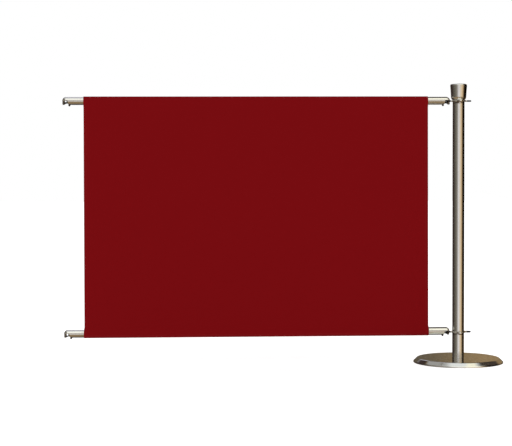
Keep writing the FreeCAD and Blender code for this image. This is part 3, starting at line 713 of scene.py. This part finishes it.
# --- Stage, lights and camera ------------------------------------------------------------------------------
def make_floor():
    """A wide pale floor. Steel doesn't mirror it: it mirrors the studio painted in make_studio()."""
    mesh = bmesh.new()
    bmesh.ops.create_grid(mesh, x_segments=8, y_segments=8, size=30.0)
    material, tree, shader = new_material("studio_floor", Roughness=0.9)
    shader.inputs["Specular IOR Level"].default_value = 0.0
    faint = noise(tree, object_place(tree), 3.0, 3.0, 0.5)
    join(tree, mixed(tree, faint, (0.93, 0.93, 0.93), (0.95, 0.95, 0.95)), shader.inputs["Base Color"])
    join(tree, (1.0, 1.0, 1.0), shader.inputs["Emission Color"])
    shader.inputs["Emission Strength"].default_value = 0.33
    floor = piece_from(mesh, "studio_floor", material)
    floor.visible_glossy = False


# The room that the steel mirrors: its colour round the horizon, by the azimuth in degrees from straight
# behind the camera towards +X.
HORIZON = (
    (-180, tone(60, 50, 46)),
    (-150, tone(56, 46, 43)),
    (-113, tone(50, 42, 40)),
    (-84, tone(74, 69, 63)),
    (-60, tone(98, 97, 89)),
    (-39, tone(118, 114, 106)),
    (-22, tone(170, 167, 167)),
    (-6, tone(226, 226, 228)),
    (10, tone(214, 207, 200)),
    (30, tone(220, 200, 170)),
    (50, tone(198, 172, 134)),
    (65, tone(120, 98, 70)),
    (78, tone(26, 18, 10)),
    (88, tone(2, 1, 0)),
    (174, tone(2, 1, 0)),
)

# Soft panels painted over the horizon, each with the ranges that it fills: of the azimuth, of the elevation,
# and of the side, which is a direction's own X. A range is its two ends and the width of their soft edges.
PANELS = (
    (tone(84, 68, 44), {"elevation": (-95, -5.2, 1.6), "azimuth": (104, 200, 20)}),
    (tone(136, 118, 92), {"elevation": (-95, -13, 6), "azimuth": (-100, 72, 24)}),
    (tone(158, 152, 138), {"elevation": (8, 28, 6), "azimuth": (-100, 72, 24)}),
    (tone(128, 108, 78), {"elevation": (3.6, 30, 3), "azimuth": (129, 172, 5)}),
    (tone(84, 76, 62), {"elevation": (2.5, 24, 3), "azimuth": (169.5, 200, 3)}),
    (tone(84, 76, 62), {"elevation": (2.5, 24, 3), "azimuth": (-200, -150, 12)}),
    (tone(152, 152, 150), {"elevation": (44, 110, 8), "azimuth": (-150, 96, 8)}),
    (tone(222, 226, 226), {"elevation": (58, 100, 8), "azimuth": (-92, 93, 24)}),
    (tone(190, 190, 200), {"elevation": (24, 100, 6), "azimuth": (-200, -158, 6)}),
    (tone(252, 252, 244), {"elevation": (28, 69, 6), "azimuth": (-34, 60, 14)}),
    (tone(62, 54, 48), {"elevation": (26, 66, 8), "azimuth": (99, 200, 8)}),
    (tone(252, 249, 226), {"elevation": (44, 77, 6), "side": (0.10, 0.68, 0.06), "azimuth": (10, 90, 4)}),
)


def make_studio():
    """A white surround for the camera and soft light, and for reflections a room with soft boxes in it."""
    world = bpy.data.worlds.new("studio")
    bpy.context.scene.world = world
    world.use_nodes = True
    world.cycles.sampling_method = "NONE"
    tree = world.node_tree
    tree.nodes.clear()
    x, y, z = split(tree, add(tree, "ShaderNodeTexCoord").outputs["Generated"])
    degree = 180 / math.pi
    back = maths(tree, "MULTIPLY", y, -1.0)
    azimuth = maths(tree, "MULTIPLY", maths(tree, "ARCTAN2", x, back), degree)
    elevation = maths(tree, "MULTIPLY", maths(tree, "ARCSINE", z), degree)
    measures = {"azimuth": azimuth, "elevation": elevation, "side": x}
    circle = {"Value": azimuth, "From Min": -180.0, "From Max": 180.0}
    turn = add(tree, "ShaderNodeMapRange", circle).outputs[0]
    ramp = add(tree, "ShaderNodeValToRGB", {0: turn})
    stops = ramp.color_ramp.elements
    while len(stops) < len(HORIZON):
        stops.new(0.5)
    for stop, (angle, colour) in zip(stops, HORIZON):
        stop.position = (angle + 180) / 360
        stop.color = (*colour, 1.0)
    room = ramp.outputs[0]
    for colour, ranges in PANELS:
        mask = None
        for name, (low, high, soft) in ranges.items():
            inside = within(tree, measures[name], low, high, soft)
            mask = inside if mask is None else maths(tree, "MULTIPLY", mask, inside)
        room = mixed(tree, mask, room, colour)
    mirrored = add(tree, "ShaderNodeBackground", {"Color": room, "Strength": 1 / STEEL[1]})
    surround = add(tree, "ShaderNodeBackground", {"Color": (1.0, 1.0, 1.0), "Strength": 1.0})
    soft = add(tree, "ShaderNodeBackground", {"Color": (1.0, 1.0, 1.0), "Strength": 0.98})
    path = add(tree, "ShaderNodeLightPath")
    seen = add(tree, "ShaderNodeMixShader", {0: path.outputs["Is Camera Ray"]})
    join(tree, soft.outputs[0], seen.inputs[1])
    join(tree, surround.outputs[0], seen.inputs[2])
    final = add(tree, "ShaderNodeMixShader", {0: path.outputs["Is Glossy Ray"]})
    join(tree, seen.outputs[0], final.inputs[1])
    join(tree, mirrored.outputs[0], final.inputs[2])
    output = add(tree, "ShaderNodeOutputWorld")
    join(tree, final.outputs[0], output.inputs["Surface"])


def add_soft_box(name, place, target, size, power):
    """A large square area light that steel doesn't mirror."""
    data = bpy.data.lights.new(name, "AREA")
    data.shape = "SQUARE"
    data.size = size
    data.energy = power
    light = bpy.data.objects.new(name, data)
    light.location = place
    light.rotation_euler = (Vector(target) - Vector(place)).to_track_quat("-Z", "Y").to_euler()
    light.visible_glossy = False
    bpy.context.scene.collection.objects.link(light)


def make_lights():
    middle = (-0.65, 0.0, 0.5)
    add_soft_box("key_light", (-2.6, -3.2, 3.0), middle, 2.4, 7.0)
    add_soft_box("fill_light", (1.8, -3.4, 2.4), middle, 2.4, 8.0)
    add_soft_box("top_light", (-0.6, 0.4, 3.6), middle, 3.0, 8.0)


def make_camera():
    data = bpy.data.cameras.new("camera")
    data.sensor_width = 36.0
    data.lens = CAMERA_LENS
    data.clip_end = 100.0
    camera = bpy.data.objects.new("camera", data)
    turn, tilt, roll = CAMERA_TURN, CAMERA_TILT, CAMERA_ROLL
    ahead = Vector((math.sin(turn) * math.cos(tilt), math.cos(turn) * math.cos(tilt), -math.sin(tilt)))
    right = Vector((math.cos(turn), -math.sin(turn), 0))
    up = right.cross(ahead)
    rolled_right = right * math.cos(roll) + up * math.sin(roll)
    rolled_up = up * math.cos(roll) - right * math.sin(roll)
    axes = Matrix((rolled_right, rolled_up, -ahead)).transposed()
    camera.matrix_world = Matrix.Translation(CAMERA_PLACE) @ axes.to_4x4()
    bpy.context.scene.collection.objects.link(camera)
    bpy.context.scene.camera = camera


make_camera()
make_studio()
make_lights()
make_floor()
finishes = make_finishes()
dress_frame(finishes)
make_coils()
sheet, cloth = make_banner(finishes["banner_cloth"])
stitching = make_stitches(cloth, thread_material("banner_thread", THREAD_RED))
for piece in (sheet, stitching):
    piece.visible_glossy = False
bpy.context.scene.view_settings.view_transform = "Standard"
